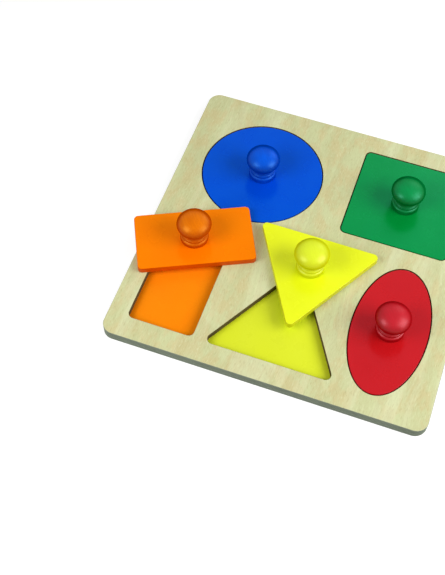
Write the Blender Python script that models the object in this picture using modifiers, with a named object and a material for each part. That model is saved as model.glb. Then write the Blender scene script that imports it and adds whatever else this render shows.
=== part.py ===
# Wooden shape board: a square plywood board with five cut-outs, and five knobbed
# plates that belong in them. The circle, the square and the oval lie in their
# recesses. The rectangle and the triangle lie loose on top of the board.
# World frame: origin at the centre of the board's underside, X to the right along
# the front edge, Y to the back, Z up. Lengths are in metres.

import math

import bmesh
import bpy
from mathutils import Matrix, Vector

MM = 0.001

# Board: a plain base sheet with a cut-out sheet glued on it
BOARD_WIDTH = 300.0 * MM
BOARD_DEPTH = 300.0 * MM
BOARD_CORNER_RADIUS = 11.5 * MM
BASE_THICKNESS = 4.0 * MM
SHEET_THICKNESS = 6.6 * MM
SHEET_EDGE = 0.3 * MM

# Gap that any two solids lying on each other keep
SEAT_GAP = 0.3 * MM
# Play between a plate and the wall of its recess, all round
RECESS_PLAY = 1.0 * MM

# Plates, without the play round them
CIRCLE_RADIUS = 58.8 * MM
SQUARE_SIDE = 101.0 * MM
OVAL_WIDTH = 68.6 * MM
RECTANGLE_WIDTH = 60.8 * MM
TRIANGLE_SIDE = 119.0 * MM
PLATE_CORNER_RADIUS = 4.3 * MM
PLATE_EDGE = 0.6 * MM

# Wood left between a recess and the board's edge, or the next recess. The oval and
# the rectangle are as long as the wood, the square and the circle behind them allow.
CIRCLE_LEFT_MARGIN = 22.4 * MM
CIRCLE_BACK_MARGIN = 23.1 * MM
SQUARE_RIGHT_MARGIN = 24.1 * MM
SQUARE_BACK_MARGIN = 20.8 * MM
OVAL_RIGHT_MARGIN = 19.0 * MM
OVAL_FRONT_MARGIN = 20.4 * MM
OVAL_SQUARE_WEB = 20.8 * MM
RECTANGLE_LEFT_MARGIN = 18.5 * MM
RECTANGLE_FRONT_MARGIN = 21.1 * MM
RECTANGLE_CIRCLE_WEB = 23.4 * MM
TRIANGLE_RECTANGLE_WEB = 9.2 * MM
TRIANGLE_FRONT_MARGIN = 20.4 * MM

# Where the two loose plates lie, and how far each is turned from its recess. The
# rectangle is placed by the end that lies nearest the triangle.
RECTANGLE_REST_END_X = -52.7 * MM
RECTANGLE_REST_END_Y = -7.7 * MM
RECTANGLE_REST_TURN = math.radians(-64.2)
TRIANGLE_REST_X = 9.6 * MM
TRIANGLE_REST_Y = -26.6 * MM
TRIANGLE_REST_TURN = math.radians(179.6)

# Turned knob: a flattened ball on a hollow neck and a round foot
KNOB_HEIGHT = 31.2 * MM
KNOB_HEAD_RADIUS = 16.3 * MM
KNOB_HEAD_HEIGHT = 19.4 * MM
KNOB_NECK_RADIUS = 9.4 * MM
KNOB_COVE_RADIUS = 11.7 * MM
KNOB_FOOT_RADIUS = 13.0 * MM
KNOB_FOOT_HEIGHT = 5.6 * MM
KNOB_FOOT_ROUND = 1.6 * MM
# The foot's rounding starts this far up its quarter circle, at a step under the cove
KNOB_FOOT_ARC = math.radians(67)

# Countersunk wood screw, driven up through the plate into the knob
SCREW_LENGTH = 20.0 * MM
SCREW_SHANK_RADIUS = 1.7 * MM
SCREW_HEAD_RADIUS = 3.6 * MM
SCREW_RIM = 0.4 * MM
SCREW_TIP_LENGTH = 4.0 * MM
SCREW_SINK = 0.3 * MM
SCREW_CLEARANCE = 0.3 * MM
CROSS_SPAN = 4.2 * MM
CROSS_SLOT = 0.9 * MM
CROSS_DEPTH = 1.4 * MM

# Facets round a curve
CIRCLE_STEPS = 72
CORNER_STEPS = 5
BOARD_CORNER_STEPS = 8
KNOB_STEPS = 32
HEAD_STEPS = 11
COVE_STEPS = 3
FOOT_STEPS = 2
SCREW_STEPS = 16
SHEET_EDGE_STEPS = 1
PLATE_EDGE_STEPS = 2
# An edge bent by more than the first angle is eased, by more than the second is sharp
EASED_ANGLE = math.radians(60)
SHARP_ANGLE = math.radians(35)
# Points nearer than this are one point
WELD_DISTANCE = 0.001 * MM
# A cutter runs this far past the face it opens
CUT_PAST = 1.0 * MM

# Surface colours as red, green and blue from 0 to 255, then roughness and metallic
FINISHES = {
    "plywood": ((214, 212, 162), 0.55, 0.0),
    "blue_paint": ((4, 82, 212), 0.3, 0.0),
    "green_paint": ((18, 146, 80), 0.3, 0.0),
    "red_paint": ((205, 40, 48), 0.3, 0.0),
    "orange_paint": ((254, 132, 4), 0.3, 0.0),
    "yellow_paint": ((244, 254, 54), 0.3, 0.0),
    "steel": ((190, 190, 186), 0.35, 1.0),
}


def clear_objects():
    for old in list(bpy.data.objects):
        bpy.data.objects.remove(old, do_unlink=True)


def new_collection(name):
    collection = bpy.data.collections.new(name)
    bpy.context.scene.collection.children.link(collection)
    return collection


def linear(level):
    """One sRGB level from 0 to 255 as the linear value that a shader takes."""
    share = level / 255.0
    if share <= 0.04045:
        return share / 12.92
    return ((share + 0.055) / 1.055) ** 2.4


def material(piece, finish):
    """The material of one piece, in one of the board's finishes."""
    colour, roughness, metallic = FINISHES[finish]
    result = bpy.data.materials.new(piece + "_" + finish)
    result.use_nodes = True
    shader = result.node_tree.nodes["Principled BSDF"]
    shader.inputs["Base Color"].default_value = [linear(c) for c in colour] + [1.0]
    shader.inputs["Roughness"].default_value = roughness
    shader.inputs["Metallic"].default_value = metallic
    return result


# Outlines: closed lists of points in the XY plane, anticlockwise


def ellipse_outline(semi_x, semi_y):
    points = []
    for step in range(CIRCLE_STEPS):
        angle = math.tau * step / CIRCLE_STEPS
        points.append((semi_x * math.cos(angle), semi_y * math.sin(angle)))
    return points


def rounded_outline(corners, radius, steps):
    """A convex polygon with each corner turned into an arc."""
    points = []
    for index, corner in enumerate(corners):
        here = Vector(corner)
        to_last = (Vector(corners[index - 1]) - here).normalized()
        to_next = (Vector(corners[(index + 1) % len(corners)]) - here).normalized()
        half = to_last.angle(to_next) / 2
        inward = (to_last + to_next).normalized()
        centre = here + inward * (radius / math.sin(half))
        start = here + to_last * (radius / math.tan(half)) - centre
        sweep = math.pi - 2 * half
        for step in range(steps + 1):
            turned = Matrix.Rotation(sweep * step / steps, 2) @ start
            points.append(tuple(centre + turned))
    return points


def box_corners(width, depth):
    x = width / 2
    y = depth / 2
    return [(-x, -y), (x, -y), (x, y), (-x, y)]


def triangle_corners(side):
    """An equilateral triangle about its centroid, one corner to the back."""
    reach = side / math.sqrt(3)
    corners = []
    for turn in (math.radians(210), math.radians(330), math.radians(90)):
        corners.append((reach * math.cos(turn), reach * math.sin(turn)))
    return corners


def circle_shape(grow):
    return ellipse_outline(CIRCLE_RADIUS + grow, CIRCLE_RADIUS + grow)


def square_shape(grow):
    side = SQUARE_SIDE + 2 * grow
    return rounded_outline(box_corners(side, side), PLATE_CORNER_RADIUS + grow, CORNER_STEPS)


def oval_length():
    """What the square and the wood round it leave of the board's depth."""
    wood = OVAL_FRONT_MARGIN + OVAL_SQUARE_WEB + SQUARE_BACK_MARGIN
    return BOARD_DEPTH - wood - SQUARE_SIDE - 4 * RECESS_PLAY


def oval_shape(grow):
    return ellipse_outline(OVAL_WIDTH / 2 + grow, oval_length() / 2 + grow)


def rectangle_length():
    """What the circle and the wood round it leave of the board's depth."""
    wood = RECTANGLE_FRONT_MARGIN + RECTANGLE_CIRCLE_WEB + CIRCLE_BACK_MARGIN
    return BOARD_DEPTH - wood - 2 * CIRCLE_RADIUS - 4 * RECESS_PLAY


def rectangle_shape(grow):
    corners = box_corners(RECTANGLE_WIDTH + 2 * grow, rectangle_length() + 2 * grow)
    return rounded_outline(corners, PLATE_CORNER_RADIUS + grow, CORNER_STEPS)


def triangle_shape(grow):
    side = TRIANGLE_SIDE + 2 * math.sqrt(3) * grow
    return rounded_outline(triangle_corners(side), PLATE_CORNER_RADIUS + grow, CORNER_STEPS)


# Places of the recesses, worked out from the margins


def circle_place():
    reach = CIRCLE_RADIUS + RECESS_PLAY
    x = -BOARD_WIDTH / 2 + CIRCLE_LEFT_MARGIN + reach
    y = BOARD_DEPTH / 2 - CIRCLE_BACK_MARGIN - reach
    return (x, y)


def square_place():
    reach = SQUARE_SIDE / 2 + RECESS_PLAY
    x = BOARD_WIDTH / 2 - SQUARE_RIGHT_MARGIN - reach
    y = BOARD_DEPTH / 2 - SQUARE_BACK_MARGIN - reach
    return (x, y)


def oval_place():
    x = BOARD_WIDTH / 2 - OVAL_RIGHT_MARGIN - OVAL_WIDTH / 2 - RECESS_PLAY
    y = -BOARD_DEPTH / 2 + OVAL_FRONT_MARGIN + oval_length() / 2 + RECESS_PLAY
    return (x, y)


def rectangle_place():
    x = -BOARD_WIDTH / 2 + RECTANGLE_LEFT_MARGIN + RECTANGLE_WIDTH / 2 + RECESS_PLAY
    y = -BOARD_DEPTH / 2 + RECTANGLE_FRONT_MARGIN + rectangle_length() / 2 + RECESS_PLAY
    return (x, y)


def triangle_place():
    recess_side = TRIANGLE_SIDE + 2 * math.sqrt(3) * RECESS_PLAY
    rectangle_right = rectangle_place()[0] + RECTANGLE_WIDTH / 2 + RECESS_PLAY
    x = rectangle_right + TRIANGLE_RECTANGLE_WEB + recess_side / 2
    y = -BOARD_DEPTH / 2 + TRIANGLE_FRONT_MARGIN + recess_side / (2 * math.sqrt(3))
    return (x, y)


def rectangle_rest():
    """Centre of the loose rectangle, half its length from the end by the triangle."""
    reach = Matrix.Rotation(RECTANGLE_REST_TURN, 2) @ Vector((0.0, rectangle_length() / 2))
    return (RECTANGLE_REST_END_X - reach.x, RECTANGLE_REST_END_Y - reach.y)


# Makers of solids


def extruded_mesh(name, outlines, thickness):
    """A flat plate standing on Z = 0: the first outline, less the others."""
    curve = bpy.data.curves.new(name, "CURVE")
    curve.dimensions = "2D"
    curve.fill_mode = "BOTH"
    curve.extrude = thickness / 2
    for outline in outlines:
        spline = curve.splines.new("POLY")
        spline.points.add(len(outline) - 1)
        for point, (x, y) in zip(spline.points, outline):
            point.co = (x, y, 0.0, 1.0)
        spline.use_cyclic_u = True
    guide = bpy.data.objects.new(name, curve)
    bpy.context.scene.collection.objects.link(guide)
    depsgraph = bpy.context.evaluated_depsgraph_get()
    mesh = bpy.data.meshes.new_from_object(guide.evaluated_get(depsgraph))
    bpy.data.objects.remove(guide, do_unlink=True)
    mesh.transform(Matrix.Translation((0.0, 0.0, thickness / 2)))
    weld(mesh)
    mesh.name = name
    return mesh


def weld(mesh):
    shape = bmesh.new()
    shape.from_mesh(mesh)
    bmesh.ops.remove_doubles(shape, verts=shape.verts, dist=WELD_DISTANCE)
    bmesh.ops.recalc_face_normals(shape, faces=shape.faces)
    shape.to_mesh(mesh)
    shape.free()


def turned_mesh(name, profile, steps):
    """A solid of revolution: (radius, height) points from the top down the outside."""
    mesh = bpy.data.meshes.new(name)
    points = [(radius, 0.0, height) for radius, height in profile]
    edges = [(index, index + 1) for index in range(len(points) - 1)]
    mesh.from_pydata(points, edges, [])
    guide = bpy.data.objects.new(name, mesh)
    bpy.context.scene.collection.objects.link(guide)
    screw = guide.modifiers.new("Turn", "SCREW")
    screw.axis = "Z"
    screw.steps = steps
    screw.render_steps = steps
    screw.use_merge_vertices = True
    screw.merge_threshold = WELD_DISTANCE
    depsgraph = bpy.context.evaluated_depsgraph_get()
    result = bpy.data.meshes.new_from_object(guide.evaluated_get(depsgraph))
    bpy.data.objects.remove(guide, do_unlink=True)
    result.name = name
    result.shade_smooth()
    result.set_sharp_from_angle(angle=SHARP_ANGLE)
    return result


def add_piece(name, mesh, finish, parent=None, height=0.0):
    """One sub-part, placed above its parent's origin."""
    piece = bpy.data.objects.new(name, mesh)
    parts.objects.link(piece)
    piece.parent = parent
    piece.location = (0.0, 0.0, height)
    if not mesh.materials:
        mesh.materials.append(None)
    piece.material_slots[0].link = "OBJECT"
    piece.material_slots[0].material = material(name, finish)
    return piece


def add_cutter(name, mesh, parent=None, height=0.0):
    cutter = bpy.data.objects.new(name, mesh)
    cutters.objects.link(cutter)
    cutter.parent = parent
    cutter.location = (0.0, 0.0, height)
    cutter.hide_render = True
    cutter.display_type = "WIRE"
    return cutter


def cut(piece, cutter):
    boolean = piece.modifiers.new("Cut", "BOOLEAN")
    boolean.operation = "DIFFERENCE"
    boolean.object = cutter


def soften_edges(piece, width, segments):
    bevel = piece.modifiers.new("Edges", "BEVEL")
    bevel.width = width
    bevel.segments = segments
    bevel.limit_method = "ANGLE"
    bevel.angle_limit = EASED_ANGLE


# Sub-parts


def moved(outline, place):
    return [(x + place[0], y + place[1]) for x, y in outline]


def board_outline():
    corners = box_corners(BOARD_WIDTH, BOARD_DEPTH)
    return rounded_outline(corners, BOARD_CORNER_RADIUS, BOARD_CORNER_STEPS)


def build_base_sheet():
    mesh = extruded_mesh("base_sheet", [board_outline()], BASE_THICKNESS)
    base = add_piece("base_sheet", mesh, "plywood")
    soften_edges(base, SHEET_EDGE, SHEET_EDGE_STEPS)


def build_top_sheet():
    """The sheet with the five cut-outs, one for each plate."""
    outlines = [board_outline()]
    for shape, place in SHAPES.values():
        outlines.append(moved(shape(RECESS_PLAY), place()))
    mesh = extruded_mesh("top_sheet", outlines, SHEET_THICKNESS)
    sheet = add_piece("top_sheet", mesh, "plywood", height=BASE_THICKNESS + SEAT_GAP)
    soften_edges(sheet, SHEET_EDGE, SHEET_EDGE_STEPS)


def head_centre():
    return KNOB_HEIGHT - KNOB_HEAD_HEIGHT / 2


def knob_profile():
    """Half of the knob's section, with the blind hole that the screw bites in."""
    points = []
    last = -math.acos(KNOB_NECK_RADIUS / KNOB_HEAD_RADIUS)
    for step in range(HEAD_STEPS + 1):
        angle = math.pi / 2 + (last - math.pi / 2) * step / HEAD_STEPS
        radius = KNOB_HEAD_RADIUS * math.cos(angle)
        height = head_centre() + KNOB_HEAD_HEIGHT / 2 * math.sin(angle)
        points.append((max(radius, 0.0), height))
    neck_top = points[-1][1]
    for step in range(1, COVE_STEPS + 1):
        angle = math.pi / 2 * step / COVE_STEPS
        flare = (KNOB_COVE_RADIUS - KNOB_NECK_RADIUS) * (1 - math.cos(angle))
        drop = (neck_top - KNOB_FOOT_HEIGHT) * math.sin(angle)
        points.append((KNOB_NECK_RADIUS + flare, neck_top - drop))
    for step in range(FOOT_STEPS + 1):
        angle = KNOB_FOOT_ARC * (1 - step / FOOT_STEPS)
        radius = KNOB_FOOT_RADIUS - KNOB_FOOT_ROUND * (1 - math.cos(angle))
        height = KNOB_FOOT_HEIGHT - KNOB_FOOT_ROUND * (1 - math.sin(angle))
        points.append((radius, height))
    bore = SCREW_SHANK_RADIUS + SCREW_CLEARANCE
    plate_share = SHEET_THICKNESS + SEAT_GAP
    bore_top = SCREW_SINK + SCREW_LENGTH + SCREW_CLEARANCE - plate_share
    points.append((KNOB_FOOT_RADIUS, 0.0))
    points.append((bore, 0.0))
    points.append((bore, bore_top - bore))
    points.append((0.0, bore_top))
    return points


def screw_profile():
    """Half of the screw's section, standing on its head."""
    cone_top = SCREW_RIM + SCREW_HEAD_RADIUS - SCREW_SHANK_RADIUS
    return [
        (0.0, SCREW_LENGTH),
        (SCREW_SHANK_RADIUS, SCREW_LENGTH - SCREW_TIP_LENGTH),
        (SCREW_SHANK_RADIUS, cone_top),
        (SCREW_HEAD_RADIUS, SCREW_RIM),
        (SCREW_HEAD_RADIUS, 0.0),
        (0.0, 0.0),
    ]


def screw_hole_profile():
    """Half of the countersunk hole through a plate, a clearance off the screw."""
    bore = SCREW_SHANK_RADIUS + SCREW_CLEARANCE
    mouth = SCREW_HEAD_RADIUS + SCREW_CLEARANCE
    mouth_top = SCREW_SINK + SCREW_RIM + SCREW_CLEARANCE
    top = SHEET_THICKNESS + CUT_PAST
    return [
        (0.0, top),
        (bore, top),
        (bore, mouth_top + mouth - bore),
        (mouth, mouth_top),
        (mouth, -CUT_PAST),
        (0.0, -CUT_PAST),
    ]


def cross_outline():
    """The cross of the driver's recess, anticlockwise from the right arm."""
    arm = CROSS_SPAN / 2
    half = CROSS_SLOT / 2
    quarter = [(arm, -half), (arm, half), (half, half)]
    points = []
    for turn in range(4):
        spin = Matrix.Rotation(turn * math.pi / 2, 2)
        points.extend(tuple(spin @ Vector(point)) for point in quarter)
    return points


def screw_mesh():
    """The screw with its driver's recess cut, made once for all five."""
    blank = bpy.data.objects.new("screw_blank", turned_mesh("screw_blank", screw_profile(), SCREW_STEPS))
    cutters.objects.link(blank)
    cross = extruded_mesh("driver_cross", [cross_outline()], CROSS_DEPTH + CUT_PAST)
    cut(blank, add_cutter("driver_cross", cross, height=-CUT_PAST))
    depsgraph = bpy.context.evaluated_depsgraph_get()
    mesh = bpy.data.meshes.new_from_object(blank.evaluated_get(depsgraph))
    bpy.data.objects.remove(blank, do_unlink=True)
    mesh.name = "screw"
    return mesh


def build_piece(shape_name, colour, spot, turn=0.0):
    """A plate with its knob and screw, all carried by one empty on the lift axis."""
    carrier = bpy.data.objects.new(shape_name + "_piece", None)
    parts.objects.link(carrier)
    carrier.location = spot
    carrier.rotation_euler = (0.0, 0.0, turn)
    outline = SHAPES[shape_name][0](0.0)
    plate_mesh = extruded_mesh(shape_name + "_plate", [outline], SHEET_THICKNESS)
    plate = add_piece(shape_name + "_plate", plate_mesh, colour, carrier)
    soften_edges(plate, PLATE_EDGE, PLATE_EDGE_STEPS)
    cut(plate, add_cutter(shape_name + "_screw_hole", screw_hole, carrier))
    add_piece(shape_name + "_knob", knob, colour, carrier, SHEET_THICKNESS + SEAT_GAP)
    add_piece(shape_name + "_screw", screw, "steel", carrier, SCREW_SINK)


SHAPES = {
    "circle": (circle_shape, circle_place),
    "square": (square_shape, square_place),
    "oval": (oval_shape, oval_place),
    "rectangle": (rectangle_shape, rectangle_place),
    "triangle": (triangle_shape, triangle_place),
}

clear_objects()
parts = new_collection("Shape board")
cutters = new_collection("Cutters")
knob = turned_mesh("knob", knob_profile(), KNOB_STEPS)
screw = screw_mesh()
screw_hole = turned_mesh("screw_hole", screw_hole_profile(), SCREW_STEPS)

seat_height = BASE_THICKNESS + SEAT_GAP
loose_height = seat_height + SHEET_THICKNESS + SEAT_GAP

build_base_sheet()
build_top_sheet()
build_piece("circle", "blue_paint", (*circle_place(), seat_height))
build_piece("square", "green_paint", (*square_place(), seat_height))
build_piece("oval", "red_paint", (*oval_place(), seat_height))
build_piece(
    "rectangle",
    "orange_paint",
    (*rectangle_rest(), loose_height),
    RECTANGLE_REST_TURN,
)
build_piece(
    "triangle",
    "yellow_paint",
    (TRIANGLE_REST_X, TRIANGLE_REST_Y, loose_height),
    TRIANGLE_REST_TURN,
)
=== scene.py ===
# Wooden shape board on white: two plywood sheets and five painted plates with
# turned knobs. Metres, Z up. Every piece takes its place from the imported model.

import math

import bmesh
import bpy
from mathutils import Matrix, Vector
from mathutils.kdtree import KDTree


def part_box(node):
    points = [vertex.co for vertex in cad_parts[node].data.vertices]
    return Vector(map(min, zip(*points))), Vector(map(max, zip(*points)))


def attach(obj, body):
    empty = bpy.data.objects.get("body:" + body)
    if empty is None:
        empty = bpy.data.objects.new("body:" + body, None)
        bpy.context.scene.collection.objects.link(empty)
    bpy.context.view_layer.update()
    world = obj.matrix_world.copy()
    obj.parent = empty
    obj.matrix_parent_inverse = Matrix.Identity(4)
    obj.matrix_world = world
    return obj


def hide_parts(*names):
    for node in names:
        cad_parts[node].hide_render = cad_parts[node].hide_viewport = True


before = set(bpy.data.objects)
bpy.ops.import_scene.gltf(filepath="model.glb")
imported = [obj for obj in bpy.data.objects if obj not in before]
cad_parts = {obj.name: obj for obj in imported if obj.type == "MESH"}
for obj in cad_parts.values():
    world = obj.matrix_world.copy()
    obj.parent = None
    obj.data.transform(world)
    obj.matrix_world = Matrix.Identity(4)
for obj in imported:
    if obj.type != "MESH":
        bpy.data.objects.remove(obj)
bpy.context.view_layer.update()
print("frame loaded:", len(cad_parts), "nodes")

scene = bpy.context.scene
scene.view_settings.view_transform = "Standard"


# Camera, from the picture's perspective
camera = {
    "place": (0.09357, -0.51887, 0.79035),
    "heading": 18.99,      # degrees left of straight ahead
    "tilt": 31.28,         # degrees up from straight down
    "roll": 0.73,
    "focalPixels": 991.5,  # on a picture 575 pixels high
    "pictureHeight": 575,
    "sensor": 36.0,        # millimetres
    "farthest": 20.0,
}


def makeCamera():
    data = bpy.data.cameras.new("camera")
    data.sensor_fit = "VERTICAL"
    data.sensor_height = camera["sensor"]
    data.lens = camera["focalPixels"] / camera["pictureHeight"] * data.sensor_height
    data.clip_end = camera["farthest"]
    eye = addObject("camera", data)
    heading = Matrix.Rotation(math.radians(camera["heading"]), 4, "Z")
    tilt = Matrix.Rotation(math.radians(camera["tilt"]), 4, "X")
    roll = Matrix.Rotation(math.radians(camera["roll"]), 4, "Z")
    eye.matrix_world = Matrix.Translation(camera["place"]) @ heading @ tilt @ roll
    scene.camera = eye


# Light: a pale room, soft boxes at the front left and on the right, a weak one behind
light = {
    "room": 0.28,
    "boxes": {
        "leftBox": {
            "towards": (-0.523, -0.560, 0.643), "distance": 0.95, "size": 0.46, "watts": 4.15,
        },
        "rightBox": {
            "towards": (0.787, -0.037, 0.616), "distance": 1.15, "size": 0.77, "watts": 10.4,
        },
        "backBox": {
            "towards": (0.296, 0.814, 0.500), "distance": 1.0, "size": 0.50, "watts": 1.2,
        },
    },
    "aim": (0.0, 0.0, 0.01),
}


def makeLight():
    for name, box in light["boxes"].items():
        data = bpy.data.lights.new(name, "AREA")
        data.shape = "RECTANGLE"
        data.size = box["size"]
        data.size_y = box["size"]
        data.energy = box["watts"]
        lamp = addObject(name, data)
        away = Vector(box["towards"]).normalized()
        lamp.location = Vector(light["aim"]) + away * box["distance"]
        lamp.rotation_euler = away.to_track_quat("Z", "Y").to_euler()


def seenWhite(tree):
    # 1 for rays that show the background: straight, mirrored or through glass
    path = put(tree, "ShaderNodeLightPath").outputs
    bent = maths(tree, "MAXIMUM", path["Is Glossy Ray"], path["Is Transmission Ray"])
    return maths(tree, "MAXIMUM", path["Is Camera Ray"], bent)


def makeWorld():
    world = bpy.data.worlds.new("whiteRoom")
    world.use_nodes = True
    scene.world = world
    tree = world.node_tree
    tree.nodes.clear()
    strength = spread(tree, seenWhite(tree), 0.0, 1.0, light["room"], 1.0)
    backing = put(tree, "ShaderNodeBackground")
    feed(tree, (1.0, 1.0, 1.0, 1.0), backing.inputs["Color"])
    feed(tree, strength, backing.inputs["Strength"])
    feed(tree, backing.outputs[0], put(tree, "ShaderNodeOutputWorld").inputs["Surface"])


# Colours are the red, green and blue of the finished surface, from 0 to 255

def shade(red, green, blue):
    # undoes the curve that a picture's levels are stored with
    levels = []
    for level in (red, green, blue):
        share = level / 255
        levels.append(share / 12.92 if share <= 0.04045 else ((share + 0.055) / 1.055) ** 2.4)
    return (*levels, 1.0)


# Small helpers for objects and meshes

def addObject(name, data):
    made = bpy.data.objects.new(name, data)
    scene.collection.objects.link(made)
    return made


def meshFrom(shape, name):
    mesh = bpy.data.meshes.new(name)
    shape.to_mesh(mesh)
    shape.free()
    return mesh


def smoothTo(mesh, degrees):
    # smooth everywhere but where faces meet at more than this angle
    mesh.shade_smooth()
    mesh.set_sharp_from_angle(angle=math.radians(degrees))


# Small helpers for node trees

def put(tree, kind, **settings):
    made = tree.nodes.new(kind)
    for name, value in settings.items():
        setattr(made, name, value)
    return made


def feed(tree, source, target):
    # a socket is linked, anything else becomes the socket's own value
    if isinstance(source, bpy.types.NodeSocket):
        tree.links.new(source, target)
    else:
        target.default_value = source


def maths(tree, operation, first, second=0.0):
    made = put(tree, "ShaderNodeMath", operation=operation)
    feed(tree, first, made.inputs[0])
    feed(tree, second, made.inputs[1])
    return made.outputs[0]


def noise(tree, vector, scale, detail=2.0, roughness=0.5, distortion=0.0):
    made = put(tree, "ShaderNodeTexNoise")
    feed(tree, vector, made.inputs["Vector"])
    made.inputs["Scale"].default_value = scale
    made.inputs["Detail"].default_value = detail
    made.inputs["Roughness"].default_value = roughness
    made.inputs["Distortion"].default_value = distortion
    return made.outputs["Fac"]


def stretch(tree, vector, scale, turn=0.0):
    made = put(tree, "ShaderNodeMapping", vector_type="TEXTURE")
    feed(tree, vector, made.inputs["Vector"])
    made.inputs["Scale"].default_value = scale
    made.inputs["Rotation"].default_value = (0.0, 0.0, turn)
    return made.outputs["Vector"]


def spread(tree, value, low, high, newLow=0.0, newHigh=1.0):
    made = put(tree, "ShaderNodeMapRange", interpolation_type="SMOOTHSTEP")
    feed(tree, value, made.inputs["Value"])
    made.inputs["From Min"].default_value = low
    made.inputs["From Max"].default_value = high
    made.inputs["To Min"].default_value = newLow
    made.inputs["To Max"].default_value = newHigh
    return made.outputs["Result"]


def blendColour(tree, factor, first, second):
    made = put(tree, "ShaderNodeMix", data_type="RGBA", blend_type="MIX")
    feed(tree, factor, made.inputs["Factor"])
    feed(tree, first, made.inputs[6])
    feed(tree, second, made.inputs[7])
    return made.outputs[2]


def newGroup(name, inputs, outputs):
    tree = bpy.data.node_groups.new(name, "ShaderNodeTree")
    for label, kind, value in inputs:
        made = tree.interface.new_socket(label, in_out="INPUT", socket_type="NodeSocket" + kind)
        if value is not None:
            made.default_value = value
    for label, kind in outputs:
        tree.interface.new_socket(label, in_out="OUTPUT", socket_type="NodeSocket" + kind)
    return tree, put(tree, "NodeGroupInput").outputs, put(tree, "NodeGroupOutput").inputs


def useGroup(tree, group, **values):
    made = put(tree, "ShaderNodeGroup", node_tree=group)
    for name, value in values.items():
        feed(tree, value, made.inputs[name])
    return made.outputs


# Wood grain along Y, shared by the bare veneer and the thin paint.
# Each pattern is given by its width across the grain and its length along it.
grain = {
    "streak": (0.016, 0.240),
    "ring": (0.050, 0.320),
    "ringCount": 9.0,
    "fibre": (0.0011, 0.020),
    "fleck": (0.0008, 0.0040),
    "cloud": (0.013, 0.026),
    "drift": (0.050, 0.110),
    "waver": 0.020,         # how far the figure wanders sideways
    "ringRise": (0.0, 0.8),
    "ringFall": (0.88, 1.0),
}


def grainNoise(tree, vector, name, detail, roughness=0.5, distortion=0.0):
    width, length = grain[name]
    fitted = stretch(tree, vector, (width, length, width))
    return noise(tree, fitted, 1.0, detail, roughness, distortion)


def makeGrainGroup():
    tree, given, result = newGroup(
        "woodGrain",
        [("Vector", "Vector", None), ("Seed", "Float", 0.0)],
        [(name, "Float") for name in ("Streak", "Ring", "Fibre", "Fleck", "Cloud")],
    )
    seeded = put(tree, "ShaderNodeVectorMath", operation="ADD")
    feed(tree, given["Vector"], seeded.inputs[0])
    shift = put(tree, "ShaderNodeCombineXYZ")
    feed(tree, given["Seed"], shift.inputs["X"])
    feed(tree, given["Seed"], shift.inputs["Z"])
    feed(tree, shift.outputs[0], seeded.inputs[1])
    straight = seeded.outputs[0]
    drift = maths(tree, "SUBTRACT", grainNoise(tree, straight, "drift", detail=2.0), 0.5)
    aside = put(tree, "ShaderNodeCombineXYZ")
    feed(tree, maths(tree, "MULTIPLY", drift, grain["waver"]), aside.inputs["X"])
    bent = put(tree, "ShaderNodeVectorMath", operation="ADD")
    feed(tree, straight, bent.inputs[0])
    feed(tree, aside.outputs[0], bent.inputs[1])
    wavy = bent.outputs[0]
    feed(tree, grainNoise(tree, wavy, "streak", detail=3.0, distortion=0.3), result["Streak"])
    ring = grainNoise(tree, wavy, "ring", detail=1.0)
    contour = maths(tree, "MULTIPLY", ring, grain["ringCount"])
    phase = maths(tree, "FRACT", contour)
    rise = spread(tree, phase, *grain["ringRise"])
    fall = spread(tree, phase, *grain["ringFall"], 1.0, 0.0)
    feed(tree, maths(tree, "MULTIPLY", rise, fall), result["Ring"])
    feed(tree, grainNoise(tree, wavy, "fibre", detail=2.0, roughness=0.6), result["Fibre"])
    feed(tree, grainNoise(tree, wavy, "fleck", detail=1.0), result["Fleck"])
    feed(tree, grainNoise(tree, straight, "cloud", detail=3.0, roughness=0.6), result["Cloud"])
    return tree


# The coat that all painted pieces share. Scales are noise cells to a metre.
coat = {
    "driftScale": 28.0,
    "driftRoughness": 0.55,
    "driftSpan": (0.3, 0.7),
    "lineSpan": (0.42, 0.62),
    "streakSpan": (0.35, 0.65),
    "peelScale": 900.0,
    "peelShare": 0.5,
    "fibreRise": 0.15,
    "glossScale": 60.0,
    "glossSpan": (0.3, 0.7),
}


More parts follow.
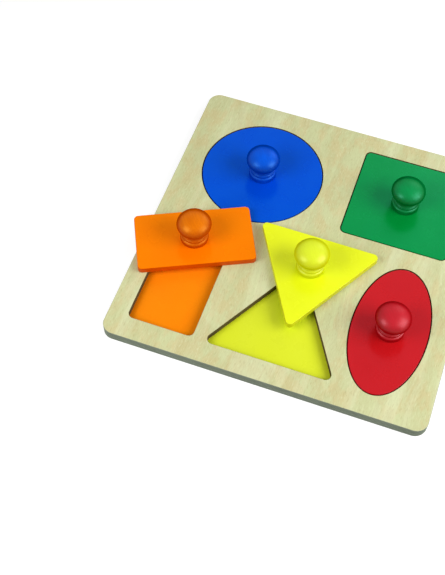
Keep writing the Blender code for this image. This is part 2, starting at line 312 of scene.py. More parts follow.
def makePaintGroup():
    # an even coat: soft drifts of tone, a fine orange peel, grain that shows through
    tree, given, result = newGroup(
        "paintCoat",
        [("Vector", "Vector", None), ("Paint", "Color", (1, 1, 1, 1)),
         ("Deep", "Color", (0, 0, 0, 1)), ("Drift", "Float", 0.1), ("Grain Show", "Float", 0.0),
         ("Seed", "Float", 0.0), ("Painted Shade", "Float", 0.0)],
        [("Color", "Color"), ("Height", "Float"), ("Gloss", "Float")],
    )
    place, show = given["Vector"], given["Grain Show"]
    wood = useGroup(tree, groups["grain"], Vector=place, Seed=given["Seed"])
    tone = noise(tree, place, coat["driftScale"], detail=3.0, roughness=coat["driftRoughness"])
    drifted = maths(tree, "MULTIPLY", spread(tree, tone, *coat["driftSpan"]), given["Drift"])
    lines = spread(tree, wood["Fibre"], *coat["lineSpan"], 1.0, 0.0)
    lines = maths(tree, "MULTIPLY", lines, show)
    broad = spread(tree, wood["Streak"], *coat["streakSpan"], 1.0, 0.0)
    broad = maths(tree, "MULTIPLY", broad, show)
    grained = maths(tree, "MULTIPLY", maths(tree, "ADD", lines, broad), 0.5)
    # the last input darkens towards the deep tone; it carries the knobs' painted shade
    amount = maths(tree, "ADD", maths(tree, "ADD", drifted, grained), given["Painted Shade"])
    amount = maths(tree, "MINIMUM", amount, 1.0)
    feed(tree, blendColour(tree, amount, given["Paint"], given["Deep"]), result["Color"])
    peel = maths(tree, "MULTIPLY", noise(tree, place, coat["peelScale"]), coat["peelShare"])
    raised = maths(tree, "MULTIPLY", wood["Fibre"], maths(tree, "ADD", show, coat["fibreRise"]))
    feed(tree, maths(tree, "ADD", peel, raised), result["Height"])
    gloss = noise(tree, place, coat["glossScale"], detail=3.0)
    feed(tree, spread(tree, gloss, *coat["glossSpan"]), result["Gloss"])
    return tree


# The marks that a laser leaves on a cut edge. Scales are noise cells to a metre.
char = {
    "waverScale": 120.0,
    "waver": 0.0004,
    "layerSpan": (-0.4, 0.4),
    "layerShare": 0.35,
    "burnScale": 900.0,
    "burnSpan": (0.35, 0.65),
    "burnShare": 0.45,
    "sootScale": 45.0,
    "sootSpan": (0.3, 0.7),
    "sootShare": 0.2,
}


def makeCharGroup():
    # the wall a laser leaves: ply layers, soot and fine slanting burn marks
    tree, given, result = newGroup(
        "cutEdge",
        [("Vector", "Vector", None), ("Light Ply", "Color", (1, 1, 1, 1)),
         ("Dark Ply", "Color", (0, 0, 0, 1)), ("Ply", "Float", 0.0011), ("Slant", "Float", 0.0)],
        [("Color", "Color"), ("Height", "Float")],
    )
    split = put(tree, "ShaderNodeSeparateXYZ")
    feed(tree, given["Vector"], split.inputs[0])
    waver = maths(tree, "MULTIPLY", noise(tree, given["Vector"], char["waverScale"]), char["waver"])
    level = maths(tree, "ADD", split.outputs["Z"], waver)
    turn = maths(tree, "MULTIPLY", maths(tree, "DIVIDE", level, given["Ply"]), math.pi)
    layers = spread(tree, maths(tree, "SINE", turn), *char["layerSpan"])
    along = maths(tree, "ADD", split.outputs["X"], split.outputs["Y"])
    leaning = maths(tree, "ADD", along, maths(tree, "MULTIPLY", split.outputs["Z"], given["Slant"]))
    burn = put(tree, "ShaderNodeTexNoise", noise_dimensions="1D")
    feed(tree, leaning, burn.inputs["W"])
    burn.inputs["Scale"].default_value = char["burnScale"]
    burn.inputs["Detail"].default_value = 2.0
    burns = spread(tree, burn.outputs["Fac"], *char["burnSpan"])
    soot = noise(tree, given["Vector"], char["sootScale"], detail=3.0)
    soot = spread(tree, soot, *char["sootSpan"])
    shareOfBurn = maths(tree, "MULTIPLY", burns, char["burnShare"])
    shareOfPly = maths(tree, "MULTIPLY", layers, char["layerShare"])
    marks = maths(tree, "ADD", shareOfBurn, shareOfPly)
    total = maths(tree, "ADD", marks, maths(tree, "MULTIPLY", soot, char["sootShare"]))
    feed(tree, blendColour(tree, total, given["Light Ply"], given["Dark Ply"]), result["Color"])
    feed(tree, marks, result["Height"])
    return tree


groups = {}
groups["grain"] = makeGrainGroup()
groups["paint"] = makePaintGroup()
groups["char"] = makeCharGroup()
print("shader groups made")


# Materials

def newMaterial(name, roughness, specular):
    made = bpy.data.materials.new(name)
    made.use_nodes = True
    tree = made.node_tree
    shader = tree.nodes["Principled BSDF"]
    shader.inputs["Roughness"].default_value = roughness
    shader.inputs["Specular IOR Level"].default_value = specular
    place = put(tree, "ShaderNodeTexCoord").outputs["Object"]
    return made, tree, shader, place


def addBump(tree, shader, height, depth, strength):
    bump = put(tree, "ShaderNodeBump")
    bump.inputs["Strength"].default_value = strength
    bump.inputs["Distance"].default_value = depth
    feed(tree, height, bump.inputs["Height"])
    feed(tree, bump.outputs["Normal"], shader.inputs["Normal"])


veneer = {
    "even": (214, 212, 159),
    "tan": (210, 201, 149),
    "green": (206, 212, 161),
    "pale": (225, 229, 186),
    "deep": (172, 160, 106),
    "roughness": (0.44, 0.58),
    "specular": 0.2,
    "bump": (0.00006, 0.35),
    "seed": 0.12,
    "evenShare": 0.18,
    "ringShare": 0.15,
    # where each pattern starts and ends in its noise, and how much it covers at most
    "cloud": (0.40, 0.64),
    "streak": (0.46, 0.64, 0.54),
    "fibre": (0.46, 0.72, 0.16),
    "fleck": (0.58, 0.74, 0.3),
    "glint": (0.42, 0.26, 0.4),
    "fibreSpan": (0.3, 0.7),    # of roughness
}


def veneerFigure(tree, tone, pattern, name, tint):
    # the pattern is laid over the tone, and a span that runs down turns it over
    start, end, most = veneer[name]
    if start < end:
        share = spread(tree, pattern, start, end)
    else:
        share = spread(tree, pattern, end, start, 1.0, 0.0)
    return blendColour(tree, maths(tree, "MULTIPLY", share, most), tone, shade(*veneer[tint]))


def veneerMaterial():
    rough = veneer["roughness"]
    made, tree, shader, place = newMaterial("birchVeneer", rough[0], veneer["specular"])
    wood = useGroup(tree, groups["grain"], Vector=place, Seed=veneer["seed"])
    clouds = spread(tree, wood["Cloud"], *veneer["cloud"])
    tone = blendColour(tree, clouds, shade(*veneer["green"]), shade(*veneer["tan"]))
    tone = blendColour(tree, veneer["evenShare"], tone, shade(*veneer["even"]))
    tone = veneerFigure(tree, tone, wood["Streak"], "streak", "pale")
    rings = maths(tree, "MULTIPLY", wood["Ring"], veneer["ringShare"])
    tone = blendColour(tree, rings, tone, shade(*veneer["deep"]))
    tone = veneerFigure(tree, tone, wood["Fibre"], "fibre", "deep")
    tone = veneerFigure(tree, tone, wood["Fleck"], "fleck", "deep")
    tone = veneerFigure(tree, tone, wood["Fleck"], "glint", "pale")
    feed(tree, tone, shader.inputs["Base Color"])
    gloss = spread(tree, wood["Fibre"], *veneer["fibreSpan"], *rough)
    feed(tree, gloss, shader.inputs["Roughness"])
    addBump(tree, shader, maths(tree, "ADD", wood["Fibre"], wood["Fleck"]), *veneer["bump"])
    return made


# The cut edges: outside the board, in the recesses, and the thin line around each
edgeFinish = {
    "outer": {"light": (156, 166, 147), "dark": (112, 122, 105), "roughness": 0.75},
    "recess": {"light": (104, 90, 54), "dark": (60, 49, 27), "roughness": 0.85},
    "line": {"light": (120, 102, 64), "dark": (76, 60, 34), "roughness": 0.8},
    "ply": 0.0011,         # thickness of a layer
    "slant": 0.9,          # how far the burn marks lean
    "specular": 0.15,
    "bump": (0.0001, 0.4),
}


def edgeMaterial(name, finish):
    made, tree, shader, place = newMaterial(name, finish["roughness"], edgeFinish["specular"])
    burnt = useGroup(tree, groups["char"], Vector=place)
    node = burnt[0].node
    node.inputs["Light Ply"].default_value = shade(*finish["light"])
    node.inputs["Dark Ply"].default_value = shade(*finish["dark"])
    node.inputs["Ply"].default_value = edgeFinish["ply"]
    node.inputs["Slant"].default_value = edgeFinish["slant"]
    feed(tree, burnt["Color"], shader.inputs["Base Color"])
    addBump(tree, shader, burnt["Height"], *edgeFinish["bump"])
    return made


# The satin paint: values for each part, then the tones of each shape. It shines in
# its own colour, as dyed lacquer does.
paint = {
    "roughness": {
        "plate": (0.20, 0.28), "side": (0.26, 0.36), "floor": (0.26, 0.36), "knob": (0.30, 0.37),
    },
    "specular": {"plate": 0.50, "side": 0.15, "floor": 0.30, "knob": 0.36},
    "lustre": {"plate": 0.0, "side": 0.0, "floor": 0.0, "knob": 0.04},
    "seed": {"plate": 0.8, "side": 0.8, "floor": 0.5, "knob": 0.2},
    "drift": {"plate": 0.2, "side": 0.3, "floor": 0.15, "knob": 0.25},
    "grainShow": {"plate": 0.05, "side": 0.05, "floor": 0.04, "knob": 0.3},
    "bump": (0.000012, 0.5),
    # heights above a knob's foot, and the shares of painted shade at the foot and at most
    "heightShade": {
        "crown": 0.0308, "full": 0.0215, "neck": 0.0120, "foot": 0.0050, "low": 0.45, "most": 0.85,
    },
    # where a knob turns away it is painted deeper in tone, as painted shade, and made duller
    "rim": {"from": 0.28, "to": 0.70, "most": 0.70, "dullFrom": 0.16, "dullBy": 0.50},
    "circle": {
        "plate": (0, 74, 215), "deep": (0, 56, 190), "side": (0, 62, 176),
        "floor": (0, 75, 203), "knob": (0, 92, 234), "knobDeep": (0, 58, 172),
        "sheen": (135, 225, 255), "plateSheen": (0, 222, 255),
    },
    "square": {
        "plate": (0, 143, 57), "deep": (0, 121, 29), "side": (0, 118, 54),
        "floor": (0, 139, 62), "knob": (0, 145, 70), "knobDeep": (0, 104, 42),
        "sheen": (150, 255, 240), "plateSheen": (92, 255, 255),
    },
    "oval": {
        "plate": (198, 22, 28), "deep": (181, 6, 8), "side": (172, 14, 24),
        "floor": (199, 29, 36), "knob": (198, 22, 38), "knobDeep": (160, 10, 18),
        "sheen": (255, 225, 235), "plateSheen": (255, 149, 174),
    },
    "rectangle": {
        "plate": (255, 127, 0), "deep": (255, 108, 0), "side": (198, 68, 0),
        "floor": (254, 139, 12), "knob": (236, 122, 2), "knobDeep": (188, 74, 0),
        "sheen": (255, 240, 110), "plateSheen": (255, 255, 20),
    },
    "triangle": {
        "plate": (238, 249, 24), "deep": (224, 235, 6), "side": (214, 216, 30),
        "floor": (222, 233, 46), "knob": (226, 242, 42), "knobDeep": (206, 212, 14),
        "sheen": (255, 255, 225), "plateSheen": (255, 255, 178),
    },
}


def knobPaintedShade(tree, place, foot):
    # painted shade, deepest under the head and paler on the crown and on the foot
    heightShade = paint["heightShade"]
    split = put(tree, "ShaderNodeSeparateXYZ")
    feed(tree, place, split.inputs[0])
    height = maths(tree, "SUBTRACT", split.outputs["Z"], foot)
    underCrown = spread(tree, height, heightShade["full"], heightShade["crown"], 1.0, 0.0)
    aboveFoot = spread(tree, height, heightShade["foot"], heightShade["neck"], heightShade["low"], 1.0)
    return maths(tree, "MULTIPLY", maths(tree, "MULTIPLY", underCrown, aboveFoot), heightShade["most"])


def paintMaterial(shape, part, turn=0.0, foot=None):
    # part is plate, side, floor or knob; foot is the height that a knob stands at
    tones = paint[shape]
    rough = paint["roughness"][part]
    name = shape + part.capitalize() + "Paint"
    made, tree, shader, place = newMaterial(name, rough[0], paint["specular"][part])
    sheen = tones["plateSheen" if part in ("plate", "floor") else "sheen"]
    shader.inputs["Specular Tint"].default_value = shade(*sheen)
    shader.inputs["Metallic"].default_value = paint["lustre"][part]
    painted = useGroup(tree, groups["paint"], Vector=stretch(tree, place, (1.0, 1.0, 1.0), turn))
    inputs = painted[0].node.inputs
    inputs["Paint"].default_value = shade(*tones[part])
    inputs["Deep"].default_value = shade(*tones["knobDeep" if part == "knob" else "deep"])
    inputs["Drift"].default_value = paint["drift"][part]
    inputs["Grain Show"].default_value = paint["grainShow"][part]
    inputs["Seed"].default_value = paint["seed"][part]
    if foot is not None:
        # painted shade on a knob: darker by height under the head, and darker on the rim where it
        # turns away
        rim = paint["rim"]
        facing = put(tree, "ShaderNodeLayerWeight").outputs["Facing"]
        rimShade = spread(tree, facing, rim["from"], rim["to"], 0.0, rim["most"])
        feed(tree, maths(tree, "ADD", knobPaintedShade(tree, place, foot), rimShade), inputs["Painted Shade"])
        shine = spread(tree, facing, rim["dullFrom"], rim["dullBy"], paint["specular"][part], 0.0)
        feed(tree, shine, shader.inputs["Specular IOR Level"])
    feed(tree, painted["Color"], shader.inputs["Base Color"])
    feed(tree, spread(tree, painted["Gloss"], 0.0, 1.0, *rough), shader.inputs["Roughness"])
    addBump(tree, shader, painted["Height"], *paint["bump"])
    return made


steel = {
    "colour": (190, 190, 184),
    "dull": (140, 138, 130),
    "roughness": (0.28, 0.5),
    "specular": 0.5,
    "blotchScale": 700.0,
    "blotchSpan": (0.35, 0.65),
    "grainScale": 3000.0,
    "bump": (0.00002, 0.3),
}


def steelMaterial():
    rough = steel["roughness"]
    made, tree, shader, place = newMaterial("zincSteel", rough[0], steel["specular"])
    shader.inputs["Metallic"].default_value = 1.0
    blotch = noise(tree, place, steel["blotchScale"], detail=3.0)
    blotch = spread(tree, blotch, *steel["blotchSpan"])
    tone = blendColour(tree, blotch, shade(*steel["colour"]), shade(*steel["dull"]))
    feed(tree, tone, shader.inputs["Base Color"])
    feed(tree, spread(tree, blotch, 0.0, 1.0, *rough), shader.inputs["Roughness"])
    addBump(tree, shader, noise(tree, place, steel["grainScale"]), *steel["bump"])
    return made


ground = {
    "colour": (176, 176, 176),
    "lift": 0.73,          # white that is seen on top of the lit floor
    "whiteFrom": 0.24,     # between these distances it fades to plain white
    "whiteBy": 0.50,
    "roughness": 0.9,
    "specular": 0.0,
    "size": 8.0,
    "drop": 0.0002,        # how far it lies below the part
}


def floorMaterial():
    made, tree, shader, place = newMaterial("whiteFloor", ground["roughness"], ground["specular"])
    shader.inputs["Base Color"].default_value = shade(*ground["colour"])
    seen = seenWhite(tree)
    glow = put(tree, "ShaderNodeEmission")
    feed(tree, maths(tree, "MULTIPLY", seen, ground["lift"]), glow.inputs["Strength"])
    near = put(tree, "ShaderNodeAddShader")
    feed(tree, shader.outputs[0], near.inputs[0])
    feed(tree, glow.outputs[0], near.inputs[1])
    white = put(tree, "ShaderNodeEmission")
    reach = put(tree, "ShaderNodeVectorMath", operation="LENGTH")
    feed(tree, place, reach.inputs[0])
    far = spread(tree, reach.outputs["Value"], ground["whiteFrom"], ground["whiteBy"])
    both = put(tree, "ShaderNodeMixShader")
    feed(tree, maths(tree, "MULTIPLY", far, seen), both.inputs[0])
    feed(tree, near.outputs[0], both.inputs[1])
    feed(tree, white.outputs[0], both.inputs[2])
    feed(tree, both.outputs[0], tree.nodes["Material Output"].inputs["Surface"])
    return made


# Outlines, anticlockwise

def ellipseOutline(centre, semiX, semiY, steps):
    points = []
    for step in range(steps):
        angle = math.tau * step / steps
        points.append((centre[0] + semiX * math.cos(angle), centre[1] + semiY * math.sin(angle)))
    return points


def roundedOutline(corners, radius, steps):
    points = []
    for index, corner in enumerate(corners):
        here = Vector(corner)
        toLast = (Vector(corners[index - 1]) - here).normalized()
        toNext = (Vector(corners[(index + 1) % len(corners)]) - here).normalized()
        half = toLast.angle(toNext) / 2
        centre = here + (toLast + toNext).normalized() * (radius / math.sin(half))
        start = here + toLast * (radius / math.tan(half)) - centre
        sweep = math.pi - 2 * half
        for step in range(steps + 1):
            points.append(tuple(centre + Matrix.Rotation(sweep * step / steps, 2) @ start))
    return points


def placed(corners, centre, turn=0.0):
    spin = Matrix.Rotation(turn, 2)
    return [tuple(Vector(centre) + spin @ Vector(corner)) for corner in corners]


def boxCorners(width, length):
    right, back = width / 2, length / 2
    return [(-right, -back), (right, -back), (right, back), (-right, back)]


def triangleCorners(side):
    reach = side / math.sqrt(3)
    angles = [math.radians(degrees) for degrees in (210, 330, 90)]
    return [(reach * math.cos(angle), reach * math.sin(angle)) for angle in angles]


# The five shapes: plate sizes, and where their recesses are in the board
shapes = {
    "circle": {"size": (0.1176, 0.1176)},
    "square": {"size": (0.101, 0.101)},
    "oval": {"size": (0.0686, 0.133)},
    "rectangle": {"size": (0.0608, 0.1108), "recess": (-0.1001, -0.0725), "turn": -64.2},
    "triangle": {"size": (0.119, 0.119), "recess": (0.00173, -0.09425), "turn": 179.6},
}
# A seated plate all but fills its recess in the picture, so both are drawn a little
# larger than the solids, which need room to lift
fit = {
    "play": 0.001,       # room around a plate in its recess
    "cornerRadius": 0.0043,
    "curveSteps": 192,
    "cornerSteps": 12,
    "plateGrow": {"circle": 0.00040, "square": 0.00060, "oval": 0.00032},
    "recessGrow": {"circle": 0.00025, "square": 0.00035, "oval": 0.00018},
    "looseGrow": -0.00005,
}


def middle(node):
    low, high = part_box(node)
    return ((low.x + high.x) / 2, (low.y + high.y) / 2)


def shapeOutline(name, centre, turn=0.0, grow=0.0):
    width, length = shapes[name]["size"]
    radius = fit["cornerRadius"] + grow
    if name in ("circle", "oval"):
        return ellipseOutline(centre, width / 2 + grow, length / 2 + grow, fit["curveSteps"])
    if name == "triangle":
        corners = triangleCorners(width + 2 * math.sqrt(3) * grow)
    else:
        corners = boxCorners(width + 2 * grow, length + 2 * grow)
    return roundedOutline(placed(corners, centre, turn), radius, fit["cornerSteps"])


def recessCentre(name):
    return shapes[name].get("recess") or middle(name + "_knob")


def recessPlay(name):
    return fit["play"] + fit["recessGrow"].get(name, 0.0)


# Flat pieces: outlines filled, raised and eased along their rims

flat = {
    "level": 0.9,        # a face whose normal rises past this is a top or a bottom
    "wall": 0.1,         # and under this it is a wall
    "rimRows": 3,
    "cutRows": 2,
    "sharpAngle": 50,
    "near": 0.00001,     # points closer than this are the same
}


def flatPiece(name, outlines, bottom, top, ease, recessEase=None):
    # material slots: 0 faces, 1 outer wall, 2 recess walls, 3 the cut line around a recess
    shape = bmesh.new()
    for outline in outlines:
        ring = [shape.verts.new((x, y, bottom)) for x, y in outline]
        for index in range(len(ring)):
            shape.edges.new((ring[index - 1], ring[index]))
    bmesh.ops.triangle_fill(shape, use_beauty=True, use_dissolve=False, edges=shape.edges[:])
    raised = bmesh.ops.extrude_face_region(shape, geom=shape.faces[:])
    lifted = [item for item in raised["geom"] if isinstance(item, bmesh.types.BMVert)]
    bmesh.ops.translate(shape, verts=lifted, vec=(0.0, 0.0, top - bottom))
    bmesh.ops.recalc_face_normals(shape, faces=shape.faces[:])
    rims = []
    for edge in shape.edges:
        normals = [abs(face.normal.z) for face in edge.link_faces]
        if len(normals) == 2 and max(normals) > flat["level"] and min(normals) < flat["wall"]:
            rims.append(edge)
    outer = outlineTree(outlines[0])
    recessRims = [edge for edge in rims if not liesOn(outer, edge.verts[0].co)]
    outerRims = [edge for edge in rims if liesOn(outer, edge.verts[0].co)]
    for face in shape.faces:
        if abs(face.normal.z) < flat["wall"]:
            face.material_index = 1 if liesOn(outer, face.verts[0].co) else 2
    rounding = {"profile": 0.5, "affect": "EDGES"}
    rows = flat["rimRows"]
    bmesh.ops.bevel(shape, geom=outerRims, offset=ease, segments=rows, material=-1, **rounding)
    if recessRims:
        rows = flat["cutRows"]
        bmesh.ops.bevel(
            shape, geom=recessRims, offset=recessEase, segments=rows, material=3, **rounding
        )
    mesh = meshFrom(shape, name)
    smoothTo(mesh, flat["sharpAngle"])
    return addObject(name, mesh)


def outlineTree(outline):
    tree = KDTree(len(outline))
    for index, point in enumerate(outline):
        tree.insert((point[0], point[1], 0.0), index)
    tree.balance()
    return tree


def liesOn(tree, point):
    return tree.find((point.x, point.y, 0.0))[2] < flat["near"]


def evenNormals(piece):
    weigh = piece.modifiers.new("evenNormals", "WEIGHTED_NORMAL")
    weigh.mode = "FACE_AREA"
    weigh.keep_sharp = True


slotOf = {
    "circle": "blue_paint",
    "square": "green_paint",
    "oval": "red_paint",
    "rectangle": "orange_paint",
    "triangle": "yellow_paint",
}


def finishPiece(piece, body, slot, *nodes):
    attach(piece, body)
    if nodes:
        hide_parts(*nodes)


# The two sheets

sheets = {
    "cornerRadius": 0.0115,
    "cornerSteps": 24,
    "edge": 0.0005,
    "cutEdge": 0.0002,
    "glueLine": 0.00008,
    "paintFilm": 0.00005,
    "paintEdge": 0.00001,
    "paintUnder": 0.0006,       # how far the paint runs under the top sheet
}


def boardOutline():
    low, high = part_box("top_sheet")
    corners = placed(boxCorners(high.x - low.x, high.y - low.y), middle("top_sheet"))
    return roundedOutline(corners, sheets["cornerRadius"], sheets["cornerSteps"])


def makeSheets():
    veneerFinish = veneerMaterial()
    outerFinish = edgeMaterial("sawnEdge", edgeFinish["outer"])
    recessFinish = edgeMaterial("charredWall", edgeFinish["recess"])
    lineFinish = edgeMaterial("charredLine", edgeFinish["line"])
    outline = boardOutline()
    baseLow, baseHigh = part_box("base_sheet")
    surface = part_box("top_sheet")[1].z
    base = flatPiece("base_sheet_wood", [outline], baseLow.z, baseHigh.z, sheets["edge"])
    base.data.materials.append(veneerFinish)
    base.data.materials.append(outerFinish)
    evenNormals(base)
    finishPiece(base, "board", "plywood", "base_sheet")
    holes = [shapeOutline(name, recessCentre(name), grow=recessPlay(name)) for name in shapes]
    bottom = baseHigh.z + sheets["glueLine"]
    outlines = [outline] + holes
    top = flatPiece("top_sheet_wood", outlines, bottom, surface, sheets["edge"], sheets["cutEdge"])
    for finish in (veneerFinish, outerFinish, recessFinish, lineFinish):
        top.data.materials.append(finish)
    evenNormals(top)
    finishPiece(top, "board", "plywood", "top_sheet")
    for name in shapes:
        grow = recessPlay(name) + sheets["paintUnder"]
        patch = shapeOutline(name, recessCentre(name), grow=grow)
        filmTop = baseHigh.z + sheets["paintFilm"]
        film = flatPiece(name + "_floor_paint", [patch], baseHigh.z, filmTop, sheets["paintEdge"])
        finish = paintMaterial(name, "floor")
        film.data.materials.append(finish)
        film.data.materials.append(finish)    # the second slot is its wall
        finishPiece(film, "board", slotOf[name])
    print("sheets made")


# The plates

plates = {
    "edge": 0.0006,
    "holeSteps": 48,
    "bore": 0.0020,
    "mouth": 0.0039,
    "mouthTop": 0.0010,
    "past": 0.001,       # how far the cutter reaches out of the plate
}


def holeCutter(centre, bottom, top):
    # the countersunk screw hole, from below
    profile = [
        (plates["mouth"], bottom - plates["past"]),
        (plates["mouth"], bottom + plates["mouthTop"]),
        (plates["bore"], bottom + plates["mouthTop"] + plates["mouth"] - plates["bore"]),
        (plates["bore"], top + plates["past"]),
    ]
    shape = bmesh.new()
    rings = []
    for radius, height in profile:
        circle = ellipseOutline(centre, radius, radius, plates["holeSteps"])
        rings.append([shape.verts.new((x, y, height)) for x, y in circle])
    for lower, upper in zip(rings, rings[1:]):
        for index in range(len(lower)):
            shape.faces.new((lower[index - 1], lower[index], upper[index], upper[index - 1]))
    shape.faces.new(reversed(rings[0]))
    shape.faces.new(rings[-1])
    bmesh.ops.recalc_face_normals(shape, faces=shape.faces[:])
    return addObject("holeCutter", meshFrom(shape, "holeCutter"))


def bake(piece):
    # the evaluated shape becomes the piece's own mesh
    depsgraph = bpy.context.evaluated_depsgraph_get()
    mesh = bpy.data.meshes.new_from_object(piece.evaluated_get(depsgraph))
    piece.modifiers.clear()
    old = piece.data
    piece.data = mesh
    bpy.data.meshes.remove(old)


def makePlates():
    for name in shapes:
        low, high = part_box(name + "_plate")
        turn = math.radians(shapes[name].get("turn", 0.0))
        centre = middle(name + "_knob")
        grow = fit["plateGrow"].get(name, fit["looseGrow"])
        outline = shapeOutline(name, centre, turn, grow)
        plate = flatPiece(name + "_plate_wood", [outline], low.z, high.z, plates["edge"])
        cutter = holeCutter(centre, low.z, high.z)
        drill = plate.modifiers.new("drill", "BOOLEAN")
        drill.operation = "DIFFERENCE"
        drill.object = cutter
        for part in ("plate", "side"):
            plate.data.materials.append(paintMaterial(name, part, turn))
        bake(plate)
        bpy.data.objects.remove(cutter)
        evenNormals(plate)
        finishPiece(plate, name + "_piece", slotOf[name], name + "_plate")
    print("plates made")


# The knobs, turned by Geometry Nodes from a half section

knob = {
    "headRadius": 0.0163,
    "headHeight": 0.0194,
    "neckRadius": 0.0094,
    "coveRadius": 0.0113,
    "coveBottom": 0.0077,
    "collarRadius": 0.0118,
    "collarRound": 0.0005,
    "footRadius": 0.0133,
    "footHeight": 0.0056,
    "footRound": 0.0016,
    "bore": 0.0020,
    "boreTop": 0.0137,
    "facets": 128,
    "headRows": 44,
    "coveRows": 12,
    "coveSweep": 80,       # this and the other two sweeps are in degrees
    "collarRows": 3,
    "collarSweep": 70,
    "footRows": 6,
    "footSweep": 72,
    "ledge": 0.0002,       # between the collar and the foot
    "chamfer": 0.0004,
    "weld": 0.000001,      # closes the seam and the poles
    "grainTurn": 0.6,
    "sharpAngle": 35,
}


def shoulder(radius, bend, top, sweep, rows):
    # a rounded edge that turns down to its full radius
    points = []
    for row in range(rows + 1):
        angle = math.radians(sweep) * (1 - row / rows)
        points.append((radius - bend * (1 - math.cos(angle)), top - bend * (1 - math.sin(angle))))
    return points


def knobProfile(height):
    points = []
    centre = height - knob["headHeight"] / 2
    last = -math.acos(knob["neckRadius"] / knob["headRadius"])
    for row in range(knob["headRows"] + 1):
        angle = math.pi / 2 + (last - math.pi / 2) * row / knob["headRows"]
        radius = max(knob["headRadius"] * math.cos(angle), 0.0)
        points.append((radius, centre + knob["headHeight"] / 2 * math.sin(angle)))
    neckTop = points[-1][1]
    for row in range(1, knob["coveRows"] + 1):
        angle = math.radians(knob["coveSweep"]) * row / knob["coveRows"]
        flare = (knob["coveRadius"] - knob["neckRadius"]) * (1 - math.cos(angle))
        fall = (neckTop - knob["coveBottom"]) * math.sin(angle)
        points.append((knob["neckRadius"] + flare, neckTop - fall))
    points += shoulder(
        knob["collarRadius"], knob["collarRound"], knob["coveBottom"],
        knob["collarSweep"], knob["collarRows"],
    )
    points.append((knob["collarRadius"], knob["footHeight"] + knob["ledge"]))
    points += shoulder(
        knob["footRadius"], knob["footRound"], knob["footHeight"],
        knob["footSweep"], knob["footRows"],
    )
    points.append((knob["footRadius"], knob["chamfer"]))
    points.append((knob["footRadius"] - knob["chamfer"], 0.0))
    points.append((knob["bore"], 0.0))
    points.append((knob["bore"], knob["boreTop"] - knob["bore"]))
    points.append((0.0, knob["boreTop"]))
    return points


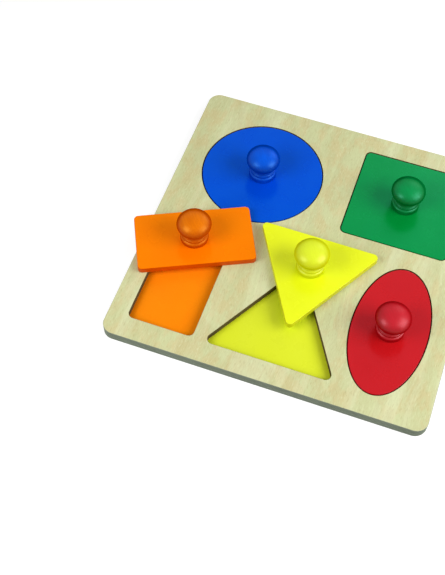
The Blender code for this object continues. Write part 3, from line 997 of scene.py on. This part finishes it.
def makeLatheTree():
    # a grid bent round: a column of points for each facet and one that closes the
    # ring, and a row for each point of the section
    tree = bpy.data.node_groups.new("lathe", "GeometryNodeTree")
    for label, kind, inOut in (
        ("Section", "Geometry", "INPUT"),
        ("Facets", "Int", "INPUT"),
        ("Place", "Vector", "INPUT"),
        ("Finish", "Material", "INPUT"),
        ("Turned", "Geometry", "OUTPUT"),
    ):
        tree.interface.new_socket(label, in_out=inOut, socket_type="NodeSocket" + kind)
    given = put(tree, "NodeGroupInput").outputs
    result = put(tree, "NodeGroupOutput").inputs
    count = put(tree, "GeometryNodeAttributeDomainSize", component="MESH")
    feed(tree, given["Section"], count.inputs["Geometry"])
    rows = count.outputs["Point Count"]
    grid = put(tree, "GeometryNodeMeshGrid")
    feed(tree, maths(tree, "ADD", given["Facets"], 1.0), grid.inputs["Vertices X"])
    feed(tree, rows, grid.inputs["Vertices Y"])
    uv = put(tree, "ShaderNodeSeparateXYZ")
    feed(tree, grid.outputs["UV Map"], uv.inputs[0])
    lastRow = maths(tree, "SUBTRACT", rows, 1.0)
    row = maths(tree, "ROUND", maths(tree, "MULTIPLY", uv.outputs["Y"], lastRow))
    sample = put(tree, "GeometryNodeSampleIndex", data_type="FLOAT_VECTOR", domain="POINT")
    feed(tree, given["Section"], sample.inputs["Geometry"])
    feed(tree, put(tree, "GeometryNodeInputPosition").outputs[0], sample.inputs["Value"])
    feed(tree, row, sample.inputs["Index"])
    point = put(tree, "ShaderNodeSeparateXYZ")
    feed(tree, sample.outputs[0], point.inputs[0])
    angle = maths(tree, "MULTIPLY", uv.outputs["X"], math.tau)
    swept = put(tree, "ShaderNodeCombineXYZ")
    radius = point.outputs["X"]
    feed(tree, maths(tree, "MULTIPLY", radius, maths(tree, "COSINE", angle)), swept.inputs["X"])
    feed(tree, maths(tree, "MULTIPLY", radius, maths(tree, "SINE", angle)), swept.inputs["Y"])
    feed(tree, point.outputs["Z"], swept.inputs["Z"])
    bend = put(tree, "GeometryNodeSetPosition")
    feed(tree, grid.outputs["Mesh"], bend.inputs["Geometry"])
    feed(tree, swept.outputs[0], bend.inputs["Position"])
    seam = put(tree, "GeometryNodeMergeByDistance")
    feed(tree, bend.outputs[0], seam.inputs["Geometry"])
    seam.inputs["Distance"].default_value = knob["weld"]
    stand = put(tree, "GeometryNodeTransform")
    feed(tree, seam.outputs[0], stand.inputs["Geometry"])
    feed(tree, given["Place"], stand.inputs["Translation"])
    real = put(tree, "GeometryNodeRealizeInstances")
    feed(tree, stand.outputs[0], real.inputs["Geometry"])
    painted = put(tree, "GeometryNodeSetMaterial")
    feed(tree, real.outputs[0], painted.inputs["Geometry"])
    feed(tree, given["Finish"], painted.inputs["Material"])
    feed(tree, painted.outputs[0], result["Turned"])
    return tree


def setInput(modifier, tree, label, value):
    for item in tree.interface.items_tree:
        if item.item_type == "SOCKET" and item.in_out == "INPUT" and item.name == label:
            modifier[item.identifier] = value


def makeKnobs():
    lathe = makeLatheTree()
    for name in shapes:
        low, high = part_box(name + "_knob")
        profile = knobProfile(high.z - low.z)
        section = bpy.data.meshes.new(name + "_knob_turned")
        edges = [(index, index + 1) for index in range(len(profile) - 1)]
        section.from_pydata([(radius, 0.0, height) for radius, height in profile], edges, [])
        piece = addObject(name + "_knob_turned", section)
        finish = paintMaterial(name, "knob", knob["grainTurn"], low.z)
        turning = piece.modifiers.new("turning", "NODES")
        turning.node_group = lathe
        centre = middle(name + "_knob")
        setInput(turning, lathe, "Facets", knob["facets"])
        setInput(turning, lathe, "Place", (centre[0], centre[1], low.z))
        setInput(turning, lathe, "Finish", finish)
        bake(piece)
        closed = bmesh.new()
        closed.from_mesh(piece.data)
        bmesh.ops.recalc_face_normals(closed, faces=closed.faces[:])
        closed.to_mesh(piece.data)
        closed.free()
        smoothTo(piece.data, knob["sharpAngle"])
        finishPiece(piece, name + "_piece", slotOf[name], name + "_knob")
    print("knobs turned")


def dressScrews():
    finish = steelMaterial()
    for name in shapes:
        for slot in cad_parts[name + "_screw"].material_slots:
            slot.material = finish
    print("screws dressed")


def makeFloor():
    half = ground["size"] / 2
    shape = bmesh.new()
    bmesh.ops.create_grid(shape, x_segments=2, y_segments=2, size=half)
    bmesh.ops.translate(shape, verts=shape.verts, vec=(0.0, 0.0, -ground["drop"]))
    mesh = meshFrom(shape, "floor")
    mesh.materials.append(floorMaterial())
    floor = addObject("floor", mesh)


makeCamera()
makeLight()
makeWorld()
makeFloor()
print("camera, light and floor set")
makeSheets()
makePlates()
makeKnobs()
dressScrews()
